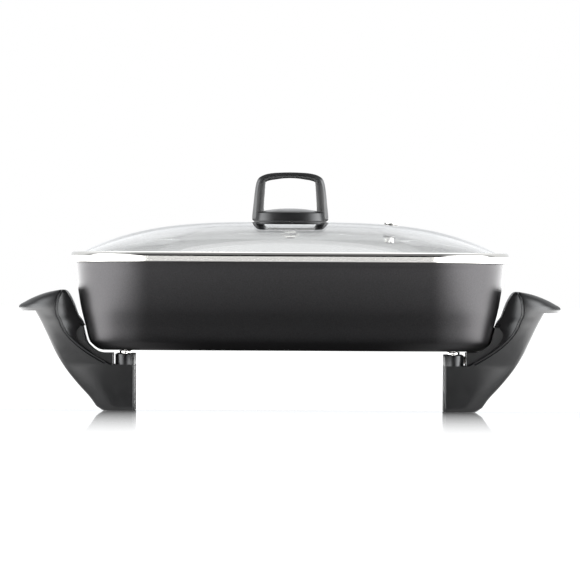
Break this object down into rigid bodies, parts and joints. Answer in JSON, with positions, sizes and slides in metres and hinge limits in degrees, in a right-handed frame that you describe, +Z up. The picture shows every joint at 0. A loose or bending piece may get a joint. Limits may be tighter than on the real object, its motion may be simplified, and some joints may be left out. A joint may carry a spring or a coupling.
{
  "type": "electric skillet",
  "caption": "Rectangular electric skillet with rounded corners, a domed glass lid that lifts off, leg and handle mouldings at both ends and a socket for a plug-in heat control.",
  "frame": {"origin": "on the table, under the middle of the pan", "axes": "+X along the long side towards the end with the heat-control socket, +Z up, front of the skillet towards -Y"},
  "size_m": [0.5098, 0.312, 0.2253],
  "materials": {
    "pan_coating": "cast aluminium under a satin graphite non-stick coat",
    "element_sheath": "dull, darkened by heat",
    "steel": "polished stainless",
    "phenolic": "satin black phenolic moulding",
    "glass": "clear tempered",
    "ceramic": "unglazed white ceramic",
    "silicone": "matt black silicone"
  },
  "bodies": {
    "base": {"pan_vessel": "pan_coating", "heating_element": "element_sheath", "probe_guard": "steel", "terminal_insulator": "ceramic", "terminal_pin_front": "steel", "terminal_pin_back": "steel", "sensor_sleeve": "steel", "guard_screw_front": "steel", "guard_screw_back": "steel", "leg_right": "phenolic", "leg_left": "phenolic", "leg_cover_right": "phenolic", "leg_cover_left": "phenolic", "leg_spacer_left_front": "steel", "leg_spacer_left_back": "steel", "leg_spacer_right_front": "steel", "leg_spacer_right_back": "steel", "leg_washer_left_front": "steel", "leg_washer_left_back": "steel", "leg_washer_right_front": "steel", "leg_washer_right_back": "steel", "leg_screw_left_front": "steel", "leg_screw_left_back": "steel", "leg_screw_right_front": "steel", "leg_screw_right_back": "steel"},
    "lid": {"lid_rim": "steel", "lid_glass": "glass", "knob_loop": "phenolic", "knob_base": "phenolic", "knob_seal": "silicone", "knob_washer": "steel", "knob_screw": "steel", "vent_eyelet": "steel", "vent_ring": "silicone"}
  },
  "joints": [
    {"name": "lid_lift", "type": "slide", "parent": "base", "child": "lid", "axis": [0, 0, 1], "range_m": [0, 0.12]}
  ]
}
